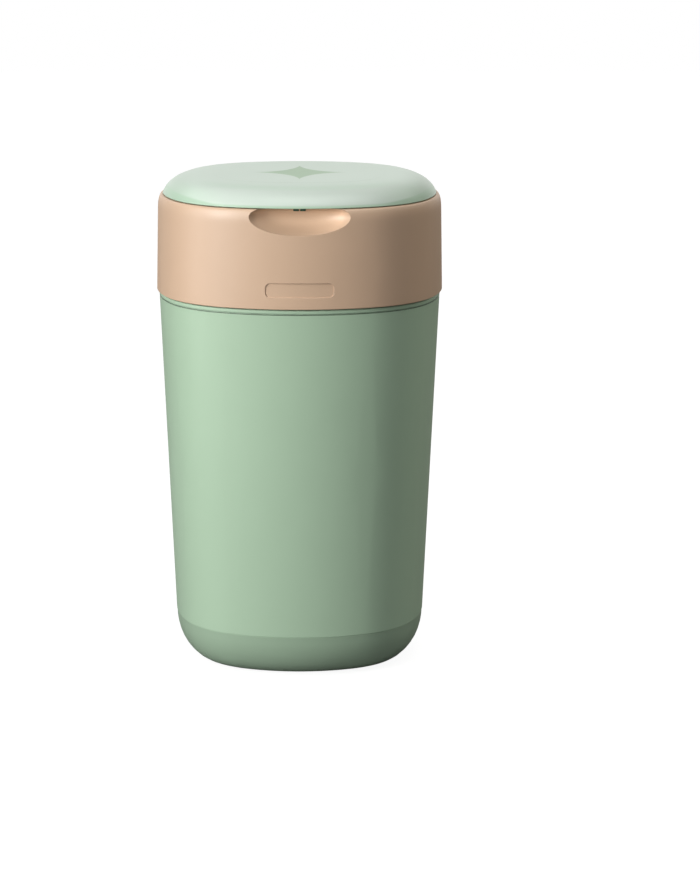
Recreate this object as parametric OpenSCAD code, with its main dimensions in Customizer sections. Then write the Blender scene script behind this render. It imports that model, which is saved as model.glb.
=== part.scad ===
// Nappy bin with a tilting head, a domed lid and a twisting refill cassette.
// Millimetres. Z is up, the origin is on the floor under the middle, and the front faces -Y.

/* [Outside] */
// Width across the collar, which is also its depth
bin_width = 240.8; // [234:0.2:250]
// Height to the top of the closed lid
bin_height = 411.5; // [404:0.5:430]
// Height of the collar, from the rim of the bucket to the lid
collar_height = 80.5; // [80:0.5:88]
// Height of the domed lid above the collar
lid_height = 16.7; // [16:0.1:22]
// Width of the ring that the bucket stands on
foot_width = 164; // [150:1:176]
// Width of the bucket at the crease above its foot
crease_width = 211.6; // [204:0.2:216]
// Height of that crease above the floor
crease_height = 36; // [26:1:44]

/* [Walls] */
// Wall of the bucket
bucket_wall = 2.4; // [2:0.1:3]
// Wall of the collar
collar_wall = 2.6; // [2:0.1:3]
// Wall of the lid
lid_wall = 2.2; // [1.8:0.1:2.8]
// Wall of the deck, its well and the turntable
inner_wall = 2.2; // [1.8:0.1:2.4]

/* [Thumb scoop and name place] */
// Width of the scoop in the front of the collar
scoop_width = 86; // [70:1:90]
// Height of the ellipse that the lower half of the scoop is cut from
scoop_height = 30; // [26:1:36]
// Depth of the scoop into the collar
scoop_depth = 20; // [14:1:20]
// Width of the bare shallow place low on the collar
plate_width = 55.4; // [40:0.2:64]
// Height of that place
plate_height = 11.6; // [8:0.2:14]
// Depth of that place
plate_depth = 0.7; // [0.4:0.1:1]

/* [Refill cassette] */
// Diameter of the cassette's flange
flange_width = 150; // [144:1:152]
// Diameter of the tube that the film runs over
tube_width = 98; // [90:1:102]
// Height of the cassette's tub with its flange
cassette_height = 50; // [44:1:52]
// Height of the flange ring
flange_height = 15; // [12:0.5:18]
// How far the tube stands above the flange
tube_rise = 10; // [8:0.5:12]
// How far the six lugs stand out from the flange
lug_reach = 4.5; // [3:0.5:5]

/* [Twist ring] */
// Ratchet teeth round the turntable, a multiple of four
tooth_count = 24; // [20:4:28]
// Raised finger grips on the ring
grip_count = 12; // [6:6:18]
// Height of a finger grip above the ring
grip_height = 2.2; // [1.4:0.2:2.6]

/* [Throat and cutter] */
// Spring fingers that hold the film shut under the cassette
finger_count = 12; // [8:2:16]
// Diameter of the gap that the fingers leave
finger_gap = 40; // [30:1:50]
// Length of the cutter's rail
rail_length = 104; // [92:1:110]
// Length of the cutter's slider
slider_length = 26; // [22:1:30]

/* [Hinges] */
// Diameter of the pin that the head tilts on
head_pin_width = 3.2; // [2.8:0.2:4]
// Diameter of the pin that the lid turns on
lid_pin_width = 3; // [2.6:0.2:3.4]
// Width of the head's and the lid's hinge notches at the back
notch_width = 92; // [86:1:94]

/* [Clearances] */
// Gap round a hinge pin
pin_gap = 0.05; // [0.03:0.01:0.1]
// Gap between pieces that slide or turn on each other
slide_gap = 0.4; // [0.3:0.05:0.6]
// Gap between the rim of the bucket and the collar
rim_gap = 0.9; // [0.6:0.1:1.2]
// Gap between the collar and the lid
lid_gap = 0.6; // [0.4:0.1:1]

/* [Hidden] */
$fn = 96;

mint = [0.67, 0.80, 0.68];
pale_mint = [0.80, 0.87, 0.81];
sand = [0.79, 0.67, 0.57];
pale_sand = [0.87, 0.80, 0.73];
greige = [0.82, 0.78, 0.70];
steel = [0.75, 0.76, 0.78];
film_blue = [0.62, 0.80, 0.84];
rubber = [0.45, 0.50, 0.46];

// Rounded square: its outline is four long side arcs and four tighter corner arcs, and each pair
// shares a tangent at split_angle. side_back is how far behind the middle a side arc has its centre,
// corner_out is where a corner arc has its centre along X and Y, and corner_pull is the difference
// between a corner arc's radius and the half width.
split_angle = 22.35;
side_back = 36.2604;
corner_out = 25.3179;
corner_pull = 30.3195;

// Heights of the outside
seam_z = bin_height - lid_height;
rim_z = seam_z - collar_height;
foot_z = 0.5;

// Half widths of the outside
collar_half = bin_width / 2;
shoulder_in = 3.2;
shoulder_drop = 11.8;
collar_lean = 1.3;
top_half = collar_half - collar_lean - shoulder_in;
bucket_half = collar_half - 1.9;
foot_half = foot_width / 2;
crease_half = crease_width / 2;

// Neck that stands up from the bucket inside the collar
neck_half = bucket_half - 2.9;
neck_rise = 11.5;
shoulder_z = rim_z - rim_gap;
neck_top = shoulder_z + neck_rise;

// Head: deck level, well and turntable, stacked from the rim upward
step_depth = 8.6;
deck_top = seam_z - step_depth;
deck_low = deck_top - inner_wall;
well_low = rim_z + 3;
well_floor = well_low + inner_wall;
turn_low = well_floor + slide_gap;
cassette_low = turn_low + inner_wall;
flange_top = cassette_low + cassette_height;
tube_top = flange_top + tube_rise;

// Head: radii from the cassette outward
flange_r = flange_width / 2;
tube_r = tube_width / 2;
tub_r = flange_r - 5;
lug_r = flange_r + lug_reach;
cup_in = lug_r + slide_gap;
cup_out = cup_in + inner_wall;
tooth_height = 2.2;
tooth_r = cup_out + tooth_height;
well_in = tooth_r + 1.4;
well_out = well_in + inner_wall;
ring_r = well_in + 4;
ring_in = flange_r + 1.2;
throat_r = tube_r + 9;
plastic = 1.8;
lug_angle = 22;
lug_count = 6;

// Hinge of the head, low at the back, and hinge of the lid, high at the back
head_knuckle_r = 5.5;
head_axis = [collar_half - head_knuckle_r, rim_z - 3.3];
head_notch_rise = 12;
head_arm_half = 25;
head_knuckle_x = (head_arm_half + notch_width / 2 - 2) / 2;
head_knuckle_half = 8.5;
recess_half = notch_width / 2 + 2;
recess_front = head_axis.x - head_knuckle_r - 0.8;
recess_low = head_axis.y - head_knuckle_r - 2;
lid_axis = [top_half - 5.9, seam_z - 5.8];
lid_knuckle_r = 4.5;
lid_notch_half = notch_width / 2 - 3;
lid_notch_z = lid_axis.y - 8;
lid_knuckle_half = 22;
pocket_front = lid_axis.x - lid_knuckle_r - 4.5;

// Scoop and front catch
scoop_y = collar_half - 1;
scoop_z = seam_z - 5.6;
scoop_rise = 11.2;
scoop_wall = 2.4;
scoop_back = scoop_y - scoop_depth - 2 * scoop_wall;
scoop_foot = scoop_z - scoop_height;
plate_rise = 15.6;
plate_corner = 4;

// Lid: a leaning strip along its edge, then an even dome over it
lid_half = top_half - 1;
lid_low = seam_z + lid_gap;
lid_strip = 2.8;
strip_lean = 1.2;
dome_half = lid_half - strip_lean;
dome_low = lid_low + lid_strip;
dome_rise = bin_height - dome_low;
dome_power = 12;
edge_power = 1.1;
liner_half = lid_half - lid_wall - 1.6;
liner_low = lid_low + 0.4;
liner_top = liner_low + 2;
liner_boss = 58;
star_half = 39;
star_length = 49;
star_power = 0.6;
star_sink = 0.8;

// Small fixings
screw_r = 1.5;
screw_head_r = 3;
screw_head = 2.2;
deck_screw = 7;
liner_screw = 8;

function half_slope(z, low, high, z_low, z_high) = low + (high - low) * (z - z_low) / (z_high - z_low);
function wall_half(z) = half_slope(z, crease_half, bucket_half, crease_height, shoulder_z);
function collar_half_at(z) =
  half_slope(z, collar_half, collar_half - collar_lean, rim_z, seam_z - shoulder_drop);
function corner_reach(half) = corner_out * sqrt(2) + half - corner_pull;
function ellipse_arc(centre, size, from, to, step) =
  [for (t = [from:step:to]) centre + [size.x * cos(t), size.y * sin(t)]];

// Sweeps a profile [half width, z] round the rounded square
module round_square() {
  for (turn = [0:90:270])
    rotate(turn) {
      translate([-side_back, 0, 0])
        rotate_extrude(angle = 2 * split_angle, start = -split_angle)
          translate([side_back, 0]) children();
      translate([corner_out, corner_out, 0])
        rotate_extrude(angle = 90 - 2 * split_angle, start = split_angle)
          translate([-corner_pull, 0]) children();
    }
}

// Solid slab with the rounded square's outline, half wide at the middle of each side
module round_square_slab(half, low, high) {
  for (turn = [0:90:270])
    rotate(turn) {
      translate([-side_back, 0, 0])
        rotate_extrude(angle = 2 * split_angle, start = -split_angle)
          translate([0, low]) square([half + side_back, high - low]);
      translate([corner_out, corner_out, 0])
        rotate_extrude(angle = 90 - 2 * split_angle, start = split_angle)
          translate([0, low]) square([half - corner_pull, high - low]);
    }
}

// Block between two corners
module box_between(a, b) {
  translate(a) cube(b - a);
}

// Cylinder along X, centred on x = 0, on an axis given as [y, z]
module rod_x(axis, r, from, to) {
  translate([from, axis.x, axis.y]) rotate([0, 90, 0]) cylinder(r = r, h = to - from);
}

// Flat ring
module ring(outer, inner, low, high) {
  rotate_extrude() translate([inner, low]) square([outer - inner, high - low]);
}

// Sector of a flat ring, centred on an angle
module ring_sector(outer, inner, low, high, middle, spread) {
  rotate_extrude(angle = spread, start = middle - spread / 2)
    translate([inner, low]) square([outer - inner, high - low]);
}

// Scoop, grown by an amount: two half ellipsoids that share their widest line
module scoop_bowl(grow) {
  for (half = [[scoop_height / 2, -1], [scoop_rise, 1]])
    translate([0, -scoop_y, scoop_z])
      intersection() {
        scale([scoop_width / 2 + grow, scoop_depth + grow, half[0] + grow]) sphere(r = 1, $fn = 64);
        translate([0, 0, half[1] * scoop_height])
          cube([2 * scoop_width, 4 * scoop_depth, 2 * scoop_height], center = true);
      }
}

// Screw with a pan head, pointing up, its head under z
module pan_screw(x, y, z, length) {
  translate([x, y, z - screw_head]) cylinder(r = screw_head_r, h = screw_head);
  translate([x, y, z - 0.2]) cylinder(r = screw_r, h = length + 0.2);
}

// ---- Bucket ----

groove_z = shoulder_z - 4;
inner_foot = foot_half - 9;
floor_low = 2.4;
floor_top = floor_low + bucket_wall;

// Outer skin, crease, groove and neck of the bucket, then back down the inside
bucket_profile = concat(
  [[inner_foot, floor_low], [inner_foot + 4, floor_low], [inner_foot + 5, foot_z]],
  [for (t = [0:9:90])
    [foot_half + (crease_half - foot_half) * sin(t), crease_height - (crease_height - foot_z) * cos(t)]],
  [
    [crease_half + 0.35, crease_height + 0.5],
    [wall_half(groove_z), groove_z],
    [wall_half(groove_z) - 0.7, groove_z + 0.3],
    [wall_half(groove_z) - 0.7, groove_z + 0.9],
    [bucket_half, groove_z + 1.4],
    [bucket_half, shoulder_z - 0.7],
    [bucket_half - 0.6, shoulder_z],
    [neck_half, shoulder_z],
    [neck_half - 0.4, shoulder_z + neck_rise],
    [neck_half - bucket_wall, shoulder_z + neck_rise],
    [neck_half - bucket_wall, shoulder_z - 4],
    [wall_half(shoulder_z - 12) - bucket_wall, shoulder_z - 12],
    [crease_half - bucket_wall, crease_height + 1],
  ],
  [for (t = [78:-13:0])
    [foot_half - bucket_wall + (crease_half - foot_half) * sin(t),
     crease_height + 1 - (crease_height + 1 - floor_top) * cos(t)]],
  [[inner_foot, floor_top]]
);

module bucket() {
  color(mint) {
    difference() {
      union() {
        round_square() polygon(bucket_profile);
        round_square_slab(inner_foot + 3, floor_low, floor_top);
      }
      // the neck stops short of the hinge, and the wall drops under the head's arm
      box_between([-recess_half, recess_front - 20, shoulder_z],
                  [recess_half, collar_half + 1, neck_top + 1]);
      box_between([-head_arm_half - 0.8, recess_front, recess_low],
                  [head_arm_half + 0.8, collar_half + 1, rim_z + 1]);
      rod_x(head_axis, head_pin_width / 2 + pin_gap, -notch_width / 2, notch_width / 2);
    }
    // recess that closes the bucket off behind the hinge
    difference() {
      intersection() {
        box_between([-recess_half - bucket_wall, recess_front - bucket_wall, recess_low - bucket_wall],
                    [recess_half + bucket_wall, collar_half, neck_top]);
        round_square_slab(neck_half - 0.5, recess_low - 10, neck_top + 1);
      }
      box_between([-recess_half, recess_front, recess_low], [recess_half, collar_half + 1, neck_top + 1]);
    }
    // two knuckles that stand on the back wall
    for (side = [-1, 1])
      translate([side * head_knuckle_x, 0, 0]) difference() {
        union() {
          rod_x(head_axis, head_knuckle_r, -head_knuckle_half, head_knuckle_half);
          box_between([-head_knuckle_half, recess_front - 1, recess_low - 1],
                      [head_knuckle_half, head_axis.x - 2, head_axis.y]);
        }
        rod_x(head_axis, head_pin_width / 2 + pin_gap, -notch_width, notch_width);
      }
    // snap rib on the front of the neck
    rod_x([-neck_half + 0.6, shoulder_z + 6.5], 1.5, -12, 12);
  }
}

pad_r = 10;
pad_place = foot_half - 33;

module foot_pads() {
  color(rubber)
    for (x = [-1, 1], y = [-1, 1])
      translate([x * pad_place, y * pad_place, 0]) {
        cylinder(r1 = pad_r - 0.6, r2 = pad_r, h = 0.8);
        translate([0, 0, 0.8]) cylinder(r = pad_r, h = floor_low - 0.8);
      }
}

module head_hinge_pin() {
  color(steel) rod_x(head_axis, head_pin_width / 2, -notch_width / 2 + 3, notch_width / 2 - 3);
}

// ---- Head ----

rim_inner = top_half - 8.4;
rim_lip = 2;
rim_round = 0.7;
skin = 1;

// Collar: upright wall, rounded shoulder, flat rim and the lip that steps down to the deck
collar_profile = concat(
  [[collar_half - collar_wall, rim_z]],
  ellipse_arc([collar_half - rim_round, rim_z + rim_round], [rim_round, rim_round], -90, 0, 30),
  ellipse_arc([top_half, seam_z - shoulder_drop], [shoulder_in, shoulder_drop], 0, 90, 10),
  [
    [rim_inner + 0.6, seam_z],
    [rim_inner, seam_z - 0.6],
    [rim_inner, deck_top],
    [rim_inner + rim_lip, deck_top],
    [rim_inner + rim_lip, seam_z - collar_wall],
  ],
  ellipse_arc([top_half - 0.6, seam_z - shoulder_drop],
              [shoulder_in + 0.6 - collar_wall, shoulder_drop - collar_wall], 75, 0, -25)
);

boss_place = corner_out + (top_half - 5.4 - corner_pull) * cos(45);

module plate_outline() {
  square([plate_width - 2 * plate_corner, plate_height], center = true);
  square([plate_width, plate_height - 2 * plate_corner], center = true);
  for (x = [-1, 1], y = [-1, 1])
    translate([x * (plate_width / 2 - plate_corner), y * (plate_height / 2 - plate_corner)])
      circle(r = plate_corner);
}

// Front sector swept from a profile [half width, z]
module front_sector(reach) {
  rotate(-90) translate([-side_back, 0, 0])
    rotate_extrude(angle = 2 * reach, start = -reach) translate([side_back, 0]) children();
}

module collar_shell() {
  difference() {
    union() {
      round_square() polygon(collar_profile);
      // wall of the scoop, which ends inside the collar's own wall
      intersection() {
        scoop_bowl(scoop_wall);
        front_sector(split_angle)
          polygon(concat(
            [[scoop_back, seam_z], [scoop_back, scoop_foot]],
            [[collar_half_at(scoop_foot) - skin, scoop_foot]],
            ellipse_arc([top_half - skin, seam_z - shoulder_drop], [shoulder_in, shoulder_drop], 0, 90, 10)
          ));
      }
      for (turn = [0:90:270])
        rotate(turn) translate([boss_place, boss_place, deck_top])
          cylinder(r = 4, h = seam_z - 1 - deck_top);
    }
    scoop_bowl(0);
    for (turn = [0:90:270])
      rotate(turn) translate([boss_place, boss_place, deck_top - 1])
        cylinder(r = screw_r - 0.1, h = 6.6);
    // bare shallow place low on the front
    intersection() {
      translate([0, -collar_half + 8, rim_z + plate_rise]) rotate([90, 0, 0])
        linear_extrude(12) plate_outline();
      front_sector(15)
        polygon([
          [collar_half_at(rim_z) - plate_depth, rim_z],
          [collar_half_at(rim_z) + 4, rim_z],
          [collar_half_at(rim_z) + 4, rim_z + 40],
          [collar_half_at(rim_z + 40) - plate_depth, rim_z + 40],
        ]);
    }
    // notch over the head's hinge, and notch for the lid's hinge
    box_between([-notch_width / 2, head_axis.x - 20, rim_z - 1],
                [notch_width / 2, collar_half + 1, rim_z + head_notch_rise]);
    box_between([-lid_notch_half, pocket_front, lid_notch_z],
                [lid_notch_half, collar_half + 1, seam_z + 1]);
  }
}

module collar() {
  color(sand) {
    collar_shell();
    // arm and knuckle of the head's hinge
    difference() {
      union() {
        rod_x(head_axis, head_knuckle_r, -head_arm_half, head_arm_half);
        intersection() {
          box_between([-head_arm_half, head_axis.x - 1, head_axis.y],
                      [head_arm_half, collar_half, rim_z + head_notch_rise + 8]);
          round_square_slab(collar_half - 1.5, rim_z - 10, rim_z + 40);
        }
      }
      rod_x(head_axis, head_pin_width / 2 + pin_gap, -notch_width, notch_width);
    }
    // ribs that rest on the neck at the two front corners, and the lip that snaps under its rib
    for (turn = [-135, -45])
      rotate(turn) box_between([corner_reach(neck_half) - 4, -1.5, neck_top + 0.3],
                               [corner_reach(collar_half) - 1.2, 1.5, neck_top + 14]);
    rod_x([-collar_half + collar_wall - 0.5, shoulder_z + 3.4], 1, -10, 10);
    // pocket and knuckle of the lid's hinge
    intersection() {
      difference() {
        box_between([-lid_notch_half - 2, pocket_front - 2, lid_notch_z - 2],
                    [lid_notch_half + 2, collar_half, deck_top]);
        box_between([-lid_notch_half, pocket_front, lid_notch_z],
                    [lid_notch_half, collar_half + 1, seam_z]);
      }
      round_square_slab(collar_half - 3.2, rim_z, seam_z);
    }
    difference() {
      union() {
        rod_x(lid_axis, lid_knuckle_r, -lid_knuckle_half, lid_knuckle_half);
        box_between([-lid_knuckle_half, lid_axis.x - lid_knuckle_r + 0.6, lid_notch_z - 1],
                    [lid_knuckle_half, lid_axis.x + lid_knuckle_r - 0.6, lid_axis.y]);
      }
      rod_x(lid_axis, lid_pin_width / 2 + pin_gap, -notch_width, notch_width);
    }
  }
}

deck_half = collar_half_at(deck_top) - collar_wall - 1.6;
pawl_angle = 195;
window_low = turn_low - slide_gap / 2;
window_high = turn_low + 9;

module deck() {
  color(pale_sand)
    difference() {
      union() {
        round_square_slab(deck_half, deck_low, deck_top);
        ring(well_out, well_in, well_low, deck_low + 1);
        ring(well_out, throat_r, well_low, well_floor);
        // block that carries the click spring
        rotate(pawl_angle) difference() {
          box_between([well_in - 6, 22, window_low], [leaf_x, 34, window_high]);
          cylinder(r = well_in + 1, h = 2 * well_low);
        }
      }
      translate([0, 0, deck_low - 1]) cylinder(r = well_in, h = 10);
      scoop_bowl(scoop_wall + 0.6);
      // room for the pocket of the lid's hinge
      box_between([-lid_notch_half - 2.4, pocket_front - 2.4, deck_low - 1],
                  [lid_notch_half + 2.4, collar_half, deck_top + 1]);
      for (turn = [0:90:270])
        rotate(turn) translate([boss_place, boss_place, deck_low - 1]) cylinder(r = screw_r + 0.1, h = 5);
      for (turn = [45:90:315])
        rotate(turn) translate([throat_r + 7, 0, well_low - 1]) cylinder(r = screw_r, h = 5);
      for (side = [-1, 1])
        translate([side * rail_foot, rail_y, well_low - 1]) cylinder(r = screw_r, h = 5);
      rotate(pawl_angle) box_between([well_in - 1, -6, window_low], [well_out + 1, 4, window_high]);
    }
}

module deck_screws() {
  color(steel)
    for (turn = [0:90:270])
      rotate(turn) pan_screw(boss_place, boss_place, deck_low, deck_screw);
}

grip_top_r = throat_r - 1;
grip_drop = 25;
grip_low = well_low - inner_wall;

module film_grip() {
  color(pale_mint) {
    difference() {
      ring(throat_r + 12, throat_r - 3, grip_low, well_low);
      for (turn = [45:90:315])
        rotate(turn) translate([throat_r + 7, 0, grip_low - 1]) cylinder(r = screw_r + 0.1, h = 5);
    }
    difference() {
      rotate_extrude()
        polygon([
          [grip_top_r, grip_low + 0.6],
          [grip_top_r - 3, grip_low + 0.6],
          [finger_gap / 2, grip_low - grip_drop],
          [finger_gap / 2 + 1.2, grip_low - grip_drop - 1.2],
        ]);
      for (turn = [0:360 / finger_count:359])
        rotate(turn) box_between([finger_gap / 2 - 4, -1, grip_low - grip_drop - 4],
                                 [grip_top_r - 5, 1, grip_low - 1]);
    }
  }
}

module grip_screws() {
  color(steel)
    for (turn = [45:90:315])
      rotate(turn) pan_screw(throat_r + 7, 0, grip_low, 2 * inner_wall - 0.1);
}

// Leaf whose nose rests between two teeth of the turntable
leaf = 1;
leaf_x = well_out + 1.4;

module click_spring() {
  color(steel)
    rotate(pawl_angle) translate([0, 0, window_low + 0.6])
      linear_extrude(window_high - window_low - 1.2)
        polygon([
          [leaf_x, 34], [leaf_x + leaf, 34], [leaf_x + leaf, -3.4], [leaf_x + leaf - 0.6, -4],
          [cup_out + 1.6, -1.4], [cup_out + 1, -0.6], [cup_out + 1, 0.2], [cup_out + 1.6, 0.8],
          [leaf_x, 2.4],
        ]);
}

rail_half = 5;
rail_web = 2;
rail_flange = 3;
rail_drop = 12;
rail_head = 7;
rail_y = -throat_r - rail_half - 3;
rail_foot = rail_length / 2 - rail_half;
rail_low = well_low - rail_drop;

module cutter_rail() {
  color(pale_sand)
    difference() {
      union() {
        box_between([-rail_length / 2, rail_y - rail_half, rail_low],
                    [rail_length / 2, rail_y + rail_half, rail_low + rail_flange]);
        box_between([-rail_length / 2, rail_y - rail_web, rail_low + 1],
                    [rail_length / 2, rail_y + rail_web, grip_low - slide_gap]);
        for (side = [-1, 1])
          box_between([side * rail_foot - rail_half, rail_y - rail_half, rail_low],
                      [side * rail_foot + rail_half, rail_y + rail_half, well_low]);
      }
      for (side = [-1, 1])
        translate([side * rail_foot, rail_y, rail_low - 1]) {
          cylinder(r = screw_r + 0.1, h = rail_drop + 2);
          cylinder(r = screw_head_r + 0.3, h = rail_head + 1);
        }
    }
}

module rail_screws() {
  color(steel)
    for (side = [-1, 1])
      pan_screw(side * rail_foot, rail_y, rail_low + rail_head, rail_drop - rail_head + inner_wall - 0.1);
}

slider_wall = 2;
blade_thick = 0.5;
nose_in = 10;
slider_low = rail_low - slide_gap - slider_wall;

module cutter_slider() {
  color(mint)
    difference() {
      union() {
        box_between([-slider_length / 2, rail_y - rail_half - slide_gap - slider_wall, slider_low],
                    [slider_length / 2, rail_y + rail_half + slide_gap + slider_wall,
                     rail_low + rail_flange + slide_gap + slider_wall]);
        // hooked nose that guards the blade
        box_between([-3, rail_y + rail_half, slider_low],
                    [3, rail_y + rail_half + nose_in, slider_low + 6]);
        // thumb ridge
        for (x = [-6, 0, 6])
          translate([x, rail_y, slider_low]) rotate([90, 0, 0]) cylinder(r = 1.2, h = 10, center = true);
      }
      box_between([-slider_length, rail_y - rail_half - slide_gap, rail_low - slide_gap],
                  [slider_length, rail_y + rail_half + slide_gap, rail_low + rail_flange + slide_gap]);
      box_between([-slider_length, rail_y - rail_web - slide_gap, rail_low],
                  [slider_length, rail_y + rail_web + slide_gap, rail_low + 20]);
      box_between([-4, rail_y + rail_half + nose_in - 5, slider_low + 2],
                  [4, rail_y + rail_half + nose_in - 2, slider_low + 8]);
      box_between([-blade_thick / 2, rail_y + rail_half + nose_in - 7, slider_low + 1],
                  [blade_thick / 2, rail_y + rail_half + nose_in - 1, slider_low + 7]);
    }
}

module cutter_blade() {
  color(steel)
    translate([blade_thick / 2, rail_y + rail_half + nose_in - 7, slider_low + 1]) rotate([0, -90, 0])
      linear_extrude(blade_thick) polygon([[0, 0], [5, 0], [1.6, 6], [0, 6]]);
}

module lid_hinge_pin() {
  color(steel) rod_x(lid_axis, lid_pin_width / 2, -lid_notch_half + 2, lid_notch_half - 2);
}

// ---- Lid ----

// Dome as a superellipse in section, from near the middle out and down to the upright edge
function dome(reach, rise, from, step) =
  [for (t = [from:step:90])
    [reach * pow(sin(t), 2 / dome_power), dome_low + rise * pow(cos(t), 2 / edge_power)]];

lid_inner = dome(dome_half - lid_wall, dome_rise - lid_wall, 3, 7);
lid_profile = concat(
  dome(dome_half, dome_rise, 3, 3),
  [[dome_half, dome_low], [lid_half, lid_low + 0.4]],
  [[lid_half - 0.4, lid_low], [lid_half - lid_wall, lid_low]],
  [for (p = [len(lid_inner) - 1:-1:0]) lid_inner[p]]
);
lid_flat = dome_half * pow(sin(3), 2 / dome_power);
lid_arm_half = lid_notch_half - 3;

// Four-pointed star, grown by an amount
module star(grow) {
  polygon([for (t = [0:6:354])
    let (c = cos(t), s = sin(t))
      [(star_half + grow) * sign(c) * pow(abs(c), 2 / star_power),
       (star_length + grow) * sign(s) * pow(abs(s), 2 / star_power)]]);
}

module lid() {
  color(mint)
    difference() {
      union() {
        round_square() polygon(lid_profile);
        round_square_slab(lid_flat + 2, bin_height - lid_wall, bin_height);
        // bosses for the liner's screws
        for (x = [-1, 1], y = [-1, 1])
          translate([x * liner_boss, y * liner_boss, liner_top])
            cylinder(r = 3.6, h = bin_height - 1 - liner_top);
        // arms of the hinge
        for (side = [-1, 1])
          intersection() {
            union() {
              rod_x(lid_axis, lid_knuckle_r, side * (lid_knuckle_half + 0.5 + lid_arm_half) / 2 - 8,
                    side * (lid_knuckle_half + 0.5 + lid_arm_half) / 2 + 8);
              box_between([side * (lid_knuckle_half + 0.5 + lid_arm_half) / 2 - 8,
                           lid_axis.x - lid_knuckle_r, lid_axis.y],
                          [side * (lid_knuckle_half + 0.5 + lid_arm_half) / 2 + 8,
                           lid_axis.x + lid_knuckle_r, dome_low + 6]);
            }
            round_square_slab(lid_half - 0.4, lid_axis.y - 10, dome_low + 6);
          }
      }
      for (x = [-1, 1], y = [-1, 1])
        translate([x * liner_boss, y * liner_boss, liner_top - 1])
          cylinder(r = screw_r - 0.1, h = liner_screw);
      rod_x(lid_axis, lid_pin_width / 2 + pin_gap, -notch_width, notch_width);
      translate([0, 0, bin_height - star_sink]) linear_extrude(star_sink + 1) star(0.2);
    }
}

module star_inlay() {
  color(pale_mint)
    translate([0, 0, bin_height - star_sink]) linear_extrude(star_sink) star(0);
}

seal_r = ring_r + 4.6;

module lid_liner() {
  color(pale_mint)
    difference() {
      round_square_slab(liner_half, liner_low, liner_top);
      box_between([-lid_notch_half, lid_axis.x - lid_knuckle_r - 1, liner_low - 1],
                  [lid_notch_half, collar_half, liner_top + 1]);
      for (x = [-1, 1], y = [-1, 1])
        translate([x * liner_boss, y * liner_boss, liner_low - 1]) cylinder(r = screw_r + 0.1, h = 5);
      // groove that holds the seal
      ring(seal_r, seal_r - 3, liner_low - 1, liner_low + 1);
    }
}

module liner_screws() {
  color(steel)
    for (x = [-1, 1], y = [-1, 1])
      pan_screw(x * liner_boss, y * liner_boss, liner_low, liner_screw);
}

// Soft ring that closes the lid onto the deck
module lid_seal() {
  color(rubber)
    rotate_extrude()
      polygon([
        [seal_r - 3, liner_low + 1], [seal_r, liner_low + 1], [seal_r, liner_low - 1],
        [seal_r - 0.6, deck_top + slide_gap + 0.8], [seal_r - 1.4, deck_top + slide_gap],
        [seal_r - 2.2, deck_top + slide_gap + 0.8], [seal_r - 3, liner_low - 1],
      ]);
}

// Two small tongues under the liner that snap past the upper edge at the back of the scoop
catch_width = 4.6;
catch_gap = 0.5;
catch_thick = 1.5;
catch_nose = 0.8;
catch_back = scoop_y - scoop_depth * sqrt(1 - pow((seam_z - scoop_z) / scoop_rise, 2)) + catch_nose - 0.3;

module lid_catch() {
  color(mint)
    for (side = [-1, 1]) {
      box_between([side * (catch_gap + catch_width / 2) - catch_width / 2,
                   -catch_back - catch_thick, seam_z - 2.4],
                  [side * (catch_gap + catch_width / 2) + catch_width / 2, -catch_back, liner_low]);
      rod_x([-catch_back - catch_nose / 2, seam_z - 1.6], catch_nose,
            side * (catch_gap + catch_width / 2) - catch_width / 2,
            side * (catch_gap + catch_width / 2) + catch_width / 2);
    }
}

// ---- Turntable and cassette ----

module turntable() {
  color(pale_mint) {
    ring(cup_out, cup_in, turn_low, deck_top + slide_gap);
    ring(cup_out, throat_r - 3, turn_low, turn_low + inner_wall);
    // ratchet: each tooth rises slowly and drops steeply
    translate([0, 0, turn_low]) linear_extrude(8) difference() {
      polygon([for (i = [0:tooth_count - 1], corner = [0:3])
        let (pitch = 360 / tooth_count,
             angle = pitch * (i + [0.2, 0.34, 0.76, 0.8][corner]),
             r = cup_out + [0, 0.02, tooth_height, 0][corner])
          r * [cos(angle), sin(angle)]]);
      circle(r = cup_in + 1);
    }
  }
}

ring_top = deck_top + 3.6;
grip_r = 2.4;

module twist_ring() {
  color(mint)
    difference() {
      union() {
        rotate_extrude()
          polygon([
            [ring_r, deck_top + slide_gap], [ring_r, deck_top + slide_gap + 1],
            [ring_r - 5, ring_top], [ring_in + 3, ring_top],
            [ring_in, ring_top - 2.2], [ring_in, flange_top + 3],
            [cup_in - 0.2, flange_top + 3], [cup_in - 0.2, deck_top + slide_gap],
          ]);
        for (i = [0:grip_count - 1])
          rotate(360 / grip_count * (i + 0.5))
            translate([ring_in + 3.8, 0, ring_top + grip_height - grip_r])
              rotate([0, 90, 0]) cylinder(r = grip_r, h = ring_r - ring_in - 9.8);
      }
      for (i = [0:lug_count - 1])
        rotate(360 / lug_count * i)
          ring_sector(cup_in - 0.4, ring_in - 1, flange_top, deck_top + 8, 0, lug_angle + 3);
    }
}

cover_low = flange_top - 3;
ledge = 1.5;
tube_foot = 3;
tube_flare = 0.8;
tab_angle = 8;

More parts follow.
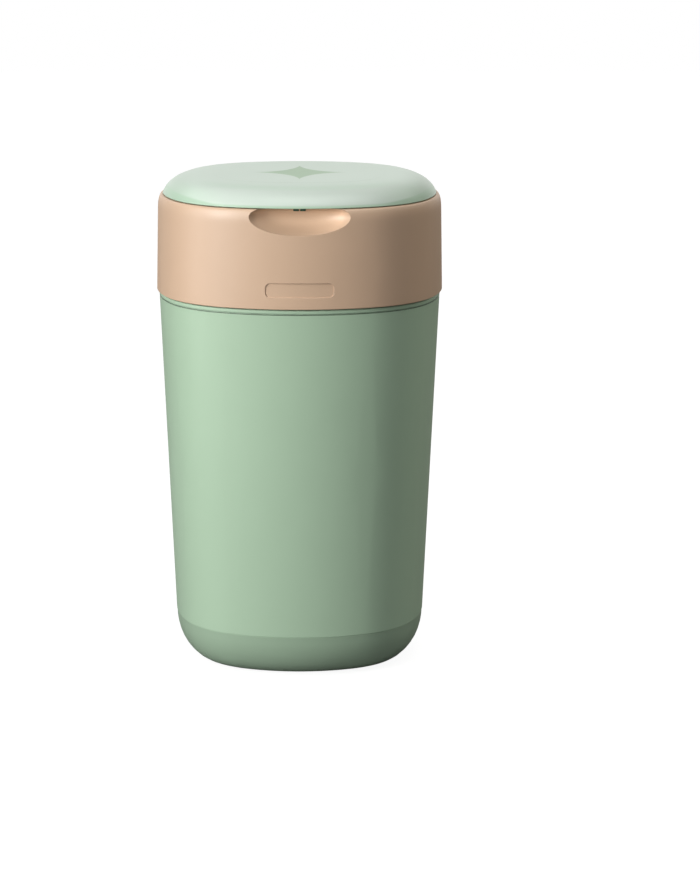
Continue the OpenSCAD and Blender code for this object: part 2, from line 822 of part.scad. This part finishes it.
module cassette_tub() {
  color(greige)
    difference() {
      union() {
        rotate_extrude()
          polygon([
            [tube_r + tube_foot, cassette_low], [tub_r - 2, cassette_low], [tub_r, cassette_low + 2],
            [tub_r, flange_top - flange_height], [flange_r, flange_top - flange_height],
            [flange_r, flange_top - 0.8], [flange_r - 0.8, flange_top],
            [flange_r - plastic, flange_top], [flange_r - plastic, cover_low - 1.6],
            [flange_r - plastic - ledge, cover_low - 1.6],
            [flange_r - plastic - ledge, flange_top - flange_height + plastic],
            [tub_r - plastic, flange_top - flange_height + plastic - 2],
            [tub_r - plastic, cassette_low + plastic], [tube_r + tube_foot, cassette_low + plastic],
          ]);
        for (i = [0:lug_count - 1])
          ring_sector(lug_r, flange_r - 1, flange_top - flange_height, flange_top - flange_height + 8,
                      360 / lug_count * i, lug_angle);
      }
      // snap window with its tongue over each lug, and the shallow bay under it
      for (i = [0:lug_count - 1]) {
        difference() {
          ring_sector(flange_r + 1, flange_r - 0.9, flange_top - 6.4, flange_top - 3,
                      360 / lug_count * i, 10);
          ring_sector(flange_r + 2, flange_r - 2, flange_top - 4.4, flange_top - 2,
                      360 / lug_count * i, 4);
        }
        ring_sector(tub_r + 1, tub_r - 0.7, cassette_low + 5, flange_top - flange_height - 1,
                    360 / lug_count * i, 17);
      }
    }
}

// Tube that the film runs over: its foot ring is welded into the tub's floor, it flares a little at
// the top, and six tabs hold the cover down
module cassette_tube() {
  color(greige) {
    rotate_extrude()
      polygon([
        [tube_r - plastic, cassette_low], [tube_r + tube_foot, cassette_low],
        [tube_r + tube_foot, cassette_low + plastic], [tube_r, cassette_low + plastic],
        [tube_r, tube_top - 4], [tube_r + 0.3, tube_top - 2.2], [tube_r + tube_flare, tube_top - 0.9],
        [tube_r + tube_flare - 0.3, tube_top - 0.2], [tube_r - 0.1, tube_top],
        [tube_r + 0.4 - plastic, tube_top - 0.5], [tube_r - plastic, tube_top - 2.6],
      ]);
    for (i = [0:lug_count - 1])
      ring_sector(tube_r + 4.4, tube_r - 0.5, cover_low + 0.2, cover_low + 1.6,
                  360 / lug_count * i - 4, tab_angle);
  }
}

module cassette_cover() {
  color(greige)
    difference() {
      ring(flange_r - plastic - 0.2, tube_r + 2.6, cover_low - 1.6, cover_low);
      ring(flange_r - 4, flange_r - 4.8, cover_low - 0.5, cover_low + 1);
      // two lobed cut-outs in each sixth that show the film
      for (i = [0:5], hole = [[12, 3, 7.5], [20, 2, 5.5], [38, 3, 6], [43, 1, 4.5]])
        rotate(60 * i + hole[0])
          translate([tube_r + hole[1], 0, cover_low - 4]) cylinder(r = hole[2], h = 8);
    }
}

module film_pack() {
  color(film_blue)
    ring(tub_r - plastic - 0.6, tube_r + 0.6, cassette_low + plastic, cover_low - 2.2);
}

bucket();
foot_pads();
head_hinge_pin();
collar();
deck();
deck_screws();
film_grip();
grip_screws();
click_spring();
cutter_rail();
rail_screws();
cutter_slider();
cutter_blade();
lid_hinge_pin();
lid();
lid_liner();
liner_screws();
lid_seal();
lid_catch();
star_inlay();
turntable();
twist_ring();
cassette_tub();
cassette_tube();
cassette_cover();
film_pack();
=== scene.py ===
import math

import bmesh
import bpy
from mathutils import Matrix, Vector, noise


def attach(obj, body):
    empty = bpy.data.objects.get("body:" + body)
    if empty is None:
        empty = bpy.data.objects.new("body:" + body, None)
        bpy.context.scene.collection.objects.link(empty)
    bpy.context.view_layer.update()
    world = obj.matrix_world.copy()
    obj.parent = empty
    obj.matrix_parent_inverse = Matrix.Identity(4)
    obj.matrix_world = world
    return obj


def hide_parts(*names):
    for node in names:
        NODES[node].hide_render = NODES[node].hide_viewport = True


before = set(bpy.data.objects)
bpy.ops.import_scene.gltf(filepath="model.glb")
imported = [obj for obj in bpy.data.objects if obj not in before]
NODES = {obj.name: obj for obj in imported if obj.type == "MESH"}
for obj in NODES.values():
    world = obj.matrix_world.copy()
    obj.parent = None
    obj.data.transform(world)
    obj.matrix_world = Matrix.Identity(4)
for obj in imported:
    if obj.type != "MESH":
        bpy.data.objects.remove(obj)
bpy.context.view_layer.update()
MM = 0.001

# ---------------------------------------------------------------- refill, in millimetres
TUBE_R = 49.0
TUB_R = 70.0
TUB_WALL = 1.8
FILM_GAP = 0.6
FILM_LOW = 323.9
FILM_TOP = 366.9
FILM_CREST = 6.0
FILM_PLEATS = 26
PLEAT_TUCK = 0.9
DEEPEST_FOLD = 5.2
FILM_STEPS_ACROSS = 22
FILM_STEPS_ROUND = 300

# ---------------------------------------------------------------- bucket, collar and lid, in millimetres
CREASE = 36.0
GROOVE = 309.6
GROOVE_HALF = 0.4
COLLAR_HALF = 120.4
FRONT_RADIUS = 156.66
LID_TOP = 411.5
LID_STEP = 0.05

# ---------------------------------------------------------------- where the painted light in the scoop meets the wall's own colour
SCOOP_BACK = 98.0
SCOOP_DEPTH = 8.0
SCOOP_RISE = (376, 388)
SCOOP_LIP = (391.5, 394.3)
SCOOP_SIDE = (34, 41)

# ---------------------------------------------------------------- where the painted reflection on the lid meets its own colour
STRIP_TOP = 396.6
STRIP_BLEND = 1.8
STRIP_RISE = 5.5
STRIP_RISE_SIDE = (70, 114)
SLOPE_TOP = (407.5, 410.5)
SLOPE_SIDE = (60, 95)
END_SIDE = (84, 106)

# ---------------------------------------------------------------- meshes, in metres and degrees
WELD = 2e-6
LEVEL_WITHIN = 0.4
REAL_EDGE = 30
CARRIED_CORNER = 32
ROUNDED_CORNER = 50


# ---------------------------------------------------------------- shader building blocks
def linear(r, g, b):
    """A colour given as the eye reads it off a screen, 0 to 255, as linear light."""
    def one(v):
        v /= 255
        return v / 12.92 if v <= 0.04045 else ((v + 0.055) / 1.055) ** 2.4
    return (one(r), one(g), one(b), 1)


def shade(colour, factor):
    return tuple(min(1, c * factor) for c in colour[:3]) + (1,)


def new_material(name):
    mat = bpy.data.materials.new(name)
    mat.use_nodes = True
    tree = mat.node_tree
    return mat, tree, tree.nodes["Principled BSDF"]


def arithmetic(tree, operation, *values):
    """One step of arithmetic on sockets and plain numbers."""
    node = tree.nodes.new("ShaderNodeMath")
    node.operation = operation
    for socket, value in zip(node.inputs, values):
        if isinstance(value, (int, float)):
            socket.default_value = value
        else:
            tree.links.new(value, socket)
    return node.outputs[0]


def product(tree, first, *others):
    for other in others:
        first = arithmetic(tree, "MULTIPLY", first, other)
    return first


def spread(tree, value, low, high):
    """Stretches a 0 to 1 value over a range."""
    ramp = tree.nodes.new("ShaderNodeMapRange")
    ramp.inputs["To Min"].default_value = low
    ramp.inputs["To Max"].default_value = high
    tree.links.new(value, ramp.inputs["Value"])
    return ramp.outputs["Result"]


def step_up(tree, value, low, high, smooth=False):
    """0 below the low distance and 1 above the high one, both in millimetres."""
    ramp = tree.nodes.new("ShaderNodeMapRange")
    ramp.inputs["From Min"].default_value = low * MM
    ramp.inputs["From Max"].default_value = high * MM
    if smooth:
        ramp.interpolation_type = "SMOOTHSTEP"
    tree.links.new(value, ramp.inputs["Value"])
    return ramp.outputs["Result"]


def step_down(tree, value, low, high):
    """1 below the low distance and 0 above the high one, both in millimetres."""
    return arithmetic(tree, "SUBTRACT", 1.0, step_up(tree, value, low, high))


def blended(tree, share, first, second):
    """The first colour where the share is 0, the second where it is 1."""
    mix = tree.nodes.new("ShaderNodeMix")
    mix.data_type = "RGBA"
    tree.links.new(share, mix.inputs["Factor"])
    for socket, colour in ((mix.inputs["A"], first), (mix.inputs["B"], second)):
        if isinstance(colour, tuple):
            socket.default_value = colour
        else:
            tree.links.new(colour, socket)
    return mix.outputs["Result"]


def own_place(tree):
    """Place of a point in the object's own space, whole and as its distances along X, Y and Z."""
    coordinates = tree.nodes.new("ShaderNodeTexCoord")
    parts = tree.nodes.new("ShaderNodeSeparateXYZ")
    tree.links.new(coordinates.outputs["Object"], parts.inputs[0])
    return coordinates, [parts.outputs[axis] for axis in "XYZ"]


def noise_field(tree, scale, detail=2.0, stretch=(1, 1, 1)):
    """Noise laid out in the object's own space."""
    place = tree.nodes.new("ShaderNodeTexCoord")
    mapping = tree.nodes.new("ShaderNodeMapping")
    mapping.inputs["Scale"].default_value = stretch
    field = tree.nodes.new("ShaderNodeTexNoise")
    field.inputs["Scale"].default_value = scale
    field.inputs["Detail"].default_value = detail
    tree.links.new(place.outputs["Object"], mapping.inputs["Vector"])
    tree.links.new(mapping.outputs["Vector"], field.inputs["Vector"])
    return field.outputs["Fac"]


def colour_of(mat):
    """The node tree of a material, its colour socket and the colour that goes into it now."""
    base = mat.node_tree.nodes["Principled BSDF"].inputs["Base Color"]
    return mat.node_tree, base, base.links[0].from_socket


def scale_colour(mat, share):
    """Multiplies a material's colour by a value that changes from place to place."""
    tree, base, colour = colour_of(mat)
    tone = tree.nodes.new("ShaderNodeVectorMath")
    tone.operation = "SCALE"
    tree.links.new(colour, tone.inputs[0])
    tree.links.new(share, tone.inputs["Scale"])
    tree.links.new(tone.outputs[0], base)


# ---------------------------------------------------------------- materials
def moulded_plastic(name, colour, roughness=0.38, grain=0.06, edge=0.6, drift=0.02, gloss_drift=0.03,
                    shine=0.45):
    """Moulded plastic: fine spark-eroded grain, a faint drift in colour and gloss, softened edges."""
    mat, tree, shader = new_material(name)
    shader.inputs["IOR"].default_value = 1.48
    shader.inputs["Specular IOR Level"].default_value = shine
    cloud = noise_field(tree, 9, 3)
    tint = blended(tree, cloud, shade(colour, 1 - drift), shade(colour, 1 + drift))
    tree.links.new(tint, shader.inputs["Base Color"])
    gloss = spread(tree, cloud, roughness - gloss_drift, roughness + gloss_drift)
    tree.links.new(gloss, shader.inputs["Roughness"])
    soft = tree.nodes.new("ShaderNodeBevel")
    soft.samples = 6
    soft.inputs["Radius"].default_value = edge * MM
    bump = tree.nodes.new("ShaderNodeBump")
    bump.inputs["Strength"].default_value = grain
    bump.inputs["Distance"].default_value = 0.0002
    tree.links.new(noise_field(tree, 1400), bump.inputs["Height"])
    tree.links.new(soft.outputs["Normal"], bump.inputs["Normal"])
    tree.links.new(bump.outputs["Normal"], shader.inputs["Normal"])
    return mat


def painted_reflection_on_top(mat, flat, slope, end):
    """The lid's top with a painted reflection: paler than the lid's own colour, with a painted highlight
    lightest on the slope in front and painted shade a tone darker at its left and right ends.
    The painted reflection runs down to the strip along the edge, which grows taller towards the ends."""
    tree, base, edge_colour = colour_of(mat)
    x, _, z = own_place(tree)[1]
    side = arithmetic(tree, "ABSOLUTE", x)
    lowered = product(tree, step_up(tree, side, *STRIP_RISE_SIDE), STRIP_RISE * MM)
    height = arithmetic(tree, "SUBTRACT", z, lowered)
    # painted reflection: paler on the flat, painted highlight on the slope in front, painted shade at the
    # ends
    level = step_up(tree, z, *SLOPE_TOP, smooth=True)
    off_the_slope = arithmetic(tree, "MAXIMUM", level, step_up(tree, side, *SLOPE_SIDE))
    pale = blended(tree, off_the_slope, slope, flat)
    pale = blended(tree, step_up(tree, side, *END_SIDE, smooth=True), pale, end)
    share = step_up(tree, height, STRIP_TOP, STRIP_TOP + STRIP_BLEND, smooth=True)
    tree.links.new(blended(tree, share, edge_colour, pale), base)


def shade_the_wall(mat, foot_shade, groove_shadow):
    """The band under the bucket's crease is painted a tone darker than the wall above it as painted shade,
    and the groove under the head holds a painted shadow, on the outside only."""
    tree = mat.node_tree
    coordinates, (_, _, z) = own_place(tree)
    above_crease = step_up(tree, z, CREASE - 0.6, CREASE + 0.4)
    # painted shade on the band under the crease, which faces down
    foot = arithmetic(tree, "MULTIPLY_ADD", above_crease, 1 - foot_shade, foot_shade)
    facing = tree.nodes.new("ShaderNodeVectorMath")
    facing.operation = "DOT_PRODUCT"
    tree.links.new(coordinates.outputs["Object"], facing.inputs[0])
    tree.links.new(coordinates.outputs["Normal"], facing.inputs[1])
    outside = arithmetic(tree, "GREATER_THAN", facing.outputs["Value"], 0.0)
    groove = arithmetic(tree, "COMPARE", z, GROOVE * MM, GROOVE_HALF * MM)
    # painted shadow in the groove under the head
    dark = product(tree, outside, groove, groove_shadow)
    scale_colour(mat, product(tree, foot, arithmetic(tree, "SUBTRACT", 1.0, dark)))


def painted_light_in_scoop(mat, light_gain):
    """The bowl of the thumb scoop is painted lighter than the wall as painted light, most of all deep in it
    and above its middle.
    The painted light runs out to nothing at its rim and in the shade under the lid."""
    tree = mat.node_tree
    x, y, z = own_place(tree)[1]
    across = arithmetic(tree, "SUBTRACT", (FRONT_RADIUS * MM) ** 2, product(tree, x, x))
    wall = arithmetic(tree, "SUBTRACT", arithmetic(tree, "SQRT", across), (FRONT_RADIUS - COLLAR_HALF) * MM)
    behind_wall = arithmetic(tree, "ADD", wall, y)
    deep = step_up(tree, behind_wall, 0, SCOOP_DEPTH)
    high = step_up(tree, z, *SCOOP_RISE)
    in_front = arithmetic(tree, "LESS_THAN", y, -SCOOP_BACK * MM)
    in_middle = step_down(tree, arithmetic(tree, "ABSOLUTE", x), *SCOOP_SIDE)
    under_lip = step_down(tree, z, *SCOOP_LIP)
    share = product(tree, deep, high, in_front, in_middle, under_lip)
    # painted light: the sand colour raised inside the bowl
    scale_colour(mat, arithmetic(tree, "MULTIPLY_ADD", share, light_gain, 1.0))


def drawn_steel(name, colour=(0.62, 0.62, 0.63, 1)):
    """Bright steel with fine lengthwise drawing marks."""
    mat, tree, shader = new_material(name)
    shader.inputs["Base Color"].default_value = colour
    shader.inputs["Metallic"].default_value = 1
    marks = noise_field(tree, 1, 3, (40, 1500, 1500))
    tree.links.new(spread(tree, marks, 0.18, 0.4), shader.inputs["Roughness"])
    return mat


def crumpled_film(name):
    """Thin film, folded over itself: pale blue and white with teal shadows and sharp small glints."""
    mat, tree, shader = new_material(name)
    shader.inputs["IOR"].default_value = 1.5
    shader.inputs["Roughness"].default_value = 0.22
    ramp = tree.nodes.new("ShaderNodeValToRGB")
    teal, pale_blue = ramp.color_ramp.elements
    teal.position, teal.color = 0.34, linear(96, 160, 172)
    pale_blue.position, pale_blue.color = 0.62, linear(226, 238, 242)
    tree.links.new(noise_field(tree, 120, 4), ramp.inputs["Fac"])
    tree.links.new(ramp.outputs["Color"], shader.inputs["Base Color"])
    place = tree.nodes.new("ShaderNodeTexCoord")
    creases = tree.nodes.new("ShaderNodeTexVoronoi")
    creases.feature = "DISTANCE_TO_EDGE"
    creases.inputs["Scale"].default_value = 420
    tree.links.new(place.outputs["Object"], creases.inputs["Vector"])
    bump = tree.nodes.new("ShaderNodeBump")
    bump.inputs["Strength"].default_value = 0.5
    bump.inputs["Distance"].default_value = 0.0006
    tree.links.new(creases.outputs["Distance"], bump.inputs["Height"])
    tree.links.new(bump.outputs["Normal"], shader.inputs["Normal"])
    return mat


sage = moulded_plastic("sage_plastic", linear(170, 198, 169))
lid_mint = moulded_plastic("lid_plastic", linear(170, 195, 172), roughness=0.3)
# painted reflection on the lid's top: the flat, the lighter slope as painted highlight, the darker ends as
# painted shade
painted_reflection_on_top(lid_mint, linear(188, 207, 190), linear(195, 207, 196), linear(176, 195, 177))
bucket_sage = moulded_plastic("bucket_plastic", linear(169, 195, 168), edge=0.3, shine=0.6)
# painted shade on the band under the crease and a painted shadow in the groove under the head
shade_the_wall(bucket_sage, foot_shade=0.8, groove_shadow=0.65)
# painted shade: the lid's catch tongues sit in the shade under the lid's edge, and this deep green stands for
# that shade
catch_shade_green = moulded_plastic("catch_shade_plastic", linear(58, 92, 76))
pale_sage = moulded_plastic("pale_sage_plastic", linear(206, 220, 207))
star_tone = moulded_plastic("star_plastic", linear(184, 205, 182), roughness=0.6, shine=0.2)
sand = moulded_plastic("sand_plastic", linear(202, 172, 145), roughness=0.42, shine=0.6)
# painted light in the scoop's bowl, lighter than the sand plastic's own colour
painted_light_in_scoop(sand, light_gain=0.35)
pale_sand = moulded_plastic("pale_sand_plastic", linear(224, 208, 192))
greige = moulded_plastic("greige_plastic", linear(206, 196, 178), roughness=0.45)
soft_rubber = moulded_plastic("soft_rubber", linear(112, 128, 114), roughness=0.7, grain=0.15)
steel = drawn_steel("drawn_steel")
film = crumpled_film("crumpled_film")


# ---------------------------------------------------------------- pieces carried over from the CAD
def clad(obj, mat):
    obj.data.materials.clear()
    obj.data.materials.append(mat)


def crisp_edges(obj, angle):
    """Smooth shading over the curves, with the real edges kept."""
    for poly in obj.data.polygons:
        poly.use_smooth = True
    split = obj.modifiers.new("edges", "EDGE_SPLIT")
    split.split_angle = math.radians(angle)
    weigh = obj.modifiers.new("faces", "WEIGHTED_NORMAL")
    weigh.keep_sharp = True


def carried_piece(obj, mat):
    clad(obj, mat)
    weld = obj.modifiers.new("weld", "WELD")
    weld.merge_threshold = WELD
    crisp_edges(obj, CARRIED_CORNER)


CARRIED = {
    "bucket": bucket_sage, "foot_pads": soft_rubber, "head_hinge_pin": steel, "collar": sand,
    "deck_screws": steel, "grip_screws": steel, "click_spring": steel, "rail_screws": steel,
    "cutter_blade": steel, "lid_hinge_pin": steel, "liner_screws": steel,
    # the lid's catch wears the deep green that stands for painted shade
    "lid_seal": soft_rubber, "lid_catch": catch_shade_green, "star_inlay": star_tone, "turntable": pale_sage,
    "cassette_tube": greige, "twist_ring": sage,
}
for node, mat in CARRIED.items():
    carried_piece(NODES[node], mat)


# ---------------------------------------------------------------- pieces made again from the CAD's shape
def link_mesh(name, bm):
    mesh = bpy.data.meshes.new(name)
    bm.to_mesh(mesh)
    bm.free()
    obj = bpy.data.objects.new(name, mesh)
    bpy.context.scene.collection.objects.link(obj)
    return obj


def shape_of(node):
    """A copy of the node's faces, joined where they meet."""
    bm = bmesh.new()
    bm.from_mesh(NODES[node].data)
    bmesh.ops.remove_doubles(bm, verts=bm.verts, dist=WELD)
    return bm


def rounded_piece(node, body, mat, radius, segments=2):
    """The node's shape again with every real edge rounded to a moulding radius in millimetres."""
    bm = shape_of(node)
    bmesh.ops.dissolve_limit(bm, angle_limit=math.radians(LEVEL_WITHIN), use_dissolve_boundaries=False,
                             verts=bm.verts, edges=bm.edges, delimit={"NORMAL"})
    sharp = [e for e in bm.edges if len(e.link_faces) == 2 and e.calc_face_angle(0) > math.radians(REAL_EDGE)]
    bmesh.ops.bevel(bm, geom=sharp, offset=radius * MM, offset_type="OFFSET", segments=segments,
                    profile=0.5, affect="EDGES", clamp_overlap=True, loop_slide=True, material=-1)
    obj = link_mesh(node + "_moulding", bm)
    clad(obj, mat)
    crisp_edges(obj, ROUNDED_CORNER)
    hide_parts(node)
    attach(obj, body)


def level_topped_lid():
    """The lid's shape again with the hair-thin step round the flat of its top taken out."""
    bm = shape_of("lid")
    for vert in bm.verts:
        if vert.co.z > (LID_TOP - LID_STEP) * MM:
            vert.co.z = LID_TOP * MM
    bmesh.ops.remove_doubles(bm, verts=bm.verts, dist=WELD)
    bmesh.ops.dissolve_degenerate(bm, dist=WELD, edges=bm.edges)
    obj = link_mesh("lid_shell", bm)
    carried_piece(obj, lid_mint)
    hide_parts("lid")
    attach(obj, "lid_body")


level_topped_lid()
rounded_piece("deck", "head", pale_sand, 0.4)
rounded_piece("film_grip", "head", pale_sage, 0.3)
rounded_piece("cutter_rail", "head", pale_sand, 0.3)
rounded_piece("cutter_slider", "cutter", sage, 0.3)
rounded_piece("lid_liner", "lid_body", pale_sage, 0.3)
rounded_piece("cassette_tub", "carousel", greige, 0.3)
rounded_piece("cassette_cover", "carousel", greige, 0.3)


# ---------------------------------------------------------------- film in the refill
def crumple(x, y):
    """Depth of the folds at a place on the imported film, in millimetres: narrow folds that run outward
    from the tube, broken up by smaller creases."""
    def ridges(*place):
        return abs(noise.noise(Vector(place)))

    reach = math.hypot(x, y)
    folds = ridges(15 * x / reach, 15 * y / reach, 0.10 * reach)
    creases = ridges(0.45 * x, 0.45 * y, 7)
    wrinkles = ridges(1.3 * x, 1.3 * y, 19)
    return min(DEEPEST_FOLD, 4.2 * folds + 2.4 * creases + 0.8 * wrinkles)


def packed_film():
    """The sleeve of film, folded down on itself into a ring of pleats that fills the tub."""
    inside, outside = TUBE_R + FILM_GAP, TUB_R - TUB_WALL - FILM_GAP
    rise = (FILM_TOP - FILM_CREST - FILM_LOW) / FILM_PLEATS
    side = [(PLEAT_TUCK if k % 2 else 0.0, FILM_LOW + k * rise) for k in range(FILM_PLEATS + 1)]
    outline = [(inside + tuck, z) for tuck, z in reversed(side)] + [(outside - tuck, z) for tuck, z in side]
    outline += [(outside + (inside - outside) * k / FILM_STEPS_ACROSS, FILM_TOP)
                for k in range(FILM_STEPS_ACROSS + 1)]
    bm = bmesh.new()
    ring = [bm.verts.new((r, 0, z)) for r, z in outline]
    edges = [bm.edges.new((ring[i - 1], ring[i])) for i in range(len(ring))]
    bmesh.ops.spin(bm, geom=ring + edges, cent=(0, 0, 0), axis=(0, 0, 1), angle=2 * math.pi,
                   steps=FILM_STEPS_ROUND, use_merge=True)
    bmesh.ops.recalc_face_normals(bm, faces=bm.faces)
    for vert in bm.verts:
        if vert.co.z > FILM_TOP - 0.5:
            vert.co.z -= crumple(vert.co.x, vert.co.y)
    bmesh.ops.scale(bm, vec=(MM, MM, MM), verts=bm.verts)
    for face in bm.faces:
        face.smooth = True
    obj = link_mesh("packed_film", bm)
    clad(obj, film)
    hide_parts("film_pack")
    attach(obj, "carousel")


packed_film()


# ---------------------------------------------------------------- studio
def soft_box(name, place, aim, size, power, colour=(1, 1, 1), mirrored=True, lights_things=True):
    """A soft light. Without "mirrored" it has no glint on the plastics, and without "lights_things" it
    is only a glint."""
    light = bpy.data.lights.new(name, "AREA")
    light.shape = "RECTANGLE"
    light.size, light.size_y = size
    light.energy = power
    light.color = colour
    obj = bpy.data.objects.new(name, light)
    bpy.context.scene.collection.objects.link(obj)
    obj.location = place
    obj.rotation_euler = (Vector(aim) - Vector(place)).to_track_quat("-Z", "Y").to_euler()
    obj.visible_glossy = mirrored
    obj.visible_diffuse = lights_things


def seen_directly(tree, *rays):
    """1 for the named kinds of ray, 0 for the light that falls on things."""
    path = tree.nodes.new("ShaderNodeLightPath")
    value = path.outputs[rays[0]]
    for ray in rays[1:]:
        value = arithmetic(tree, "MAXIMUM", value, path.outputs[ray])
    return value


def white_room(fill):
    """White wherever the camera sees it. Things are lit by a weak even fill, and mirror a dim room with
    a white wall behind the bin and a white ceiling."""
    world = bpy.data.worlds.new("white_room")
    bpy.context.scene.world = world
    world.use_nodes = True
    tree = world.node_tree
    tree.nodes.clear()

    def white(strength):
        node = tree.nodes.new("ShaderNodeBackground")
        node.inputs["Color"].default_value = (1, 1, 1, 1)
        if isinstance(strength, (int, float)):
            node.inputs["Strength"].default_value = strength
        else:
            tree.links.new(strength, node.inputs["Strength"])
        return node.outputs[0]

    def either(first, second, share):
        mix = tree.nodes.new("ShaderNodeMixShader")
        for socket, value in zip(mix.inputs, (share, first, second)):
            tree.links.new(value, socket)
        return mix.outputs[0]

    def brighter_towards(direction, start, full):
        dim, blend = 0.05, 0.3
        ramp = tree.nodes.new("ShaderNodeMapRange")
        ramp.inputs["From Min"].default_value = start
        ramp.inputs["From Max"].default_value = start + blend
        ramp.inputs["To Min"].default_value = dim
        ramp.inputs["To Max"].default_value = full
        tree.links.new(direction, ramp.inputs["Value"])
        return ramp.outputs["Result"]

    place = tree.nodes.new("ShaderNodeTexCoord")
    parts = tree.nodes.new("ShaderNodeSeparateXYZ")
    tree.links.new(place.outputs["Generated"], parts.inputs[0])
    back_wall = brighter_towards(parts.outputs["Y"], 0.65, 1.1)
    ceiling = brighter_towards(parts.outputs["Z"], 0.25, 1.2)
    mirrored = white(arithmetic(tree, "MAXIMUM", back_wall, ceiling))
    lit = either(white(fill), mirrored, seen_directly(tree, "Is Glossy Ray"))
    backdrop = either(lit, white(1), seen_directly(tree, "Is Camera Ray", "Is Transmission Ray"))
    out = tree.nodes.new("ShaderNodeOutputWorld")
    tree.links.new(backdrop, out.inputs[0])


def pale_floor(lift):
    """A plain pale floor, lifted to white for the camera and still holding the bin's soft shadow."""
    bm = bmesh.new()
    bmesh.ops.create_grid(bm, x_segments=1, y_segments=1, size=6)
    floor = link_mesh("floor", bm)
    mat, tree, shader = new_material("pale_floor")
    shader.inputs["Base Color"].default_value = (0.12, 0.12, 0.12, 1)
    shader.inputs["Roughness"].default_value = 0.8
    shader.inputs["Emission Color"].default_value = (1, 1, 1, 1)
    lifted = product(tree, seen_directly(tree, "Is Camera Ray"), lift)
    tree.links.new(lifted, shader.inputs["Emission Strength"])
    clad(floor, mat)


def photo_camera():
    """The photograph's view: 2.36 m away, 0.69 m up and pitched down, with the bin left of the middle."""
    distance, height, pitch, focal = 2.362, 0.6897, 12.03, 2820
    photo_width, photo_height, bin_middle = 700, 869, 299.6
    cam = bpy.data.cameras.new("photo_camera")
    cam.sensor_fit = "VERTICAL"
    cam.sensor_height = 36
    cam.lens = focal * cam.sensor_height / photo_height
    cam.shift_x = (photo_width / 2 - bin_middle) / photo_height
    cam.clip_end = 50
    obj = bpy.data.objects.new("photo_camera", cam)
    bpy.context.scene.collection.objects.link(obj)
    obj.location = (0, -distance, height)
    obj.rotation_euler = (math.radians(90 - pitch), 0, 0)
    bpy.context.scene.camera = obj


white_room(0.13)
pale_floor(0.92)
soft_box("key", (-1.655, -1.293, 1.0), (0, 0, 0.28), (0.9, 1.1), 48)
soft_box("card", (-0.35, -2.2, 0.5), (0, 0, 0.3), (1.0, 0.7), 6, mirrored=False)
soft_box("strip", (-1.8, -0.3, 0.6), (0, 0, 0.3), (0.5, 1.2), 8, lights_things=False)
soft_box("top", (0.25, -0.5, 2.0), (0, 0, 0.4), (1.2, 1.2), 10.5)
soft_box("rim", (1.6, 0.85, 1.0), (0, 0, 0.35), (0.5, 1.0), 11, (1.0, 0.96, 0.85), mirrored=False)
photo_camera()
bpy.context.scene.view_settings.view_transform = "Standard"
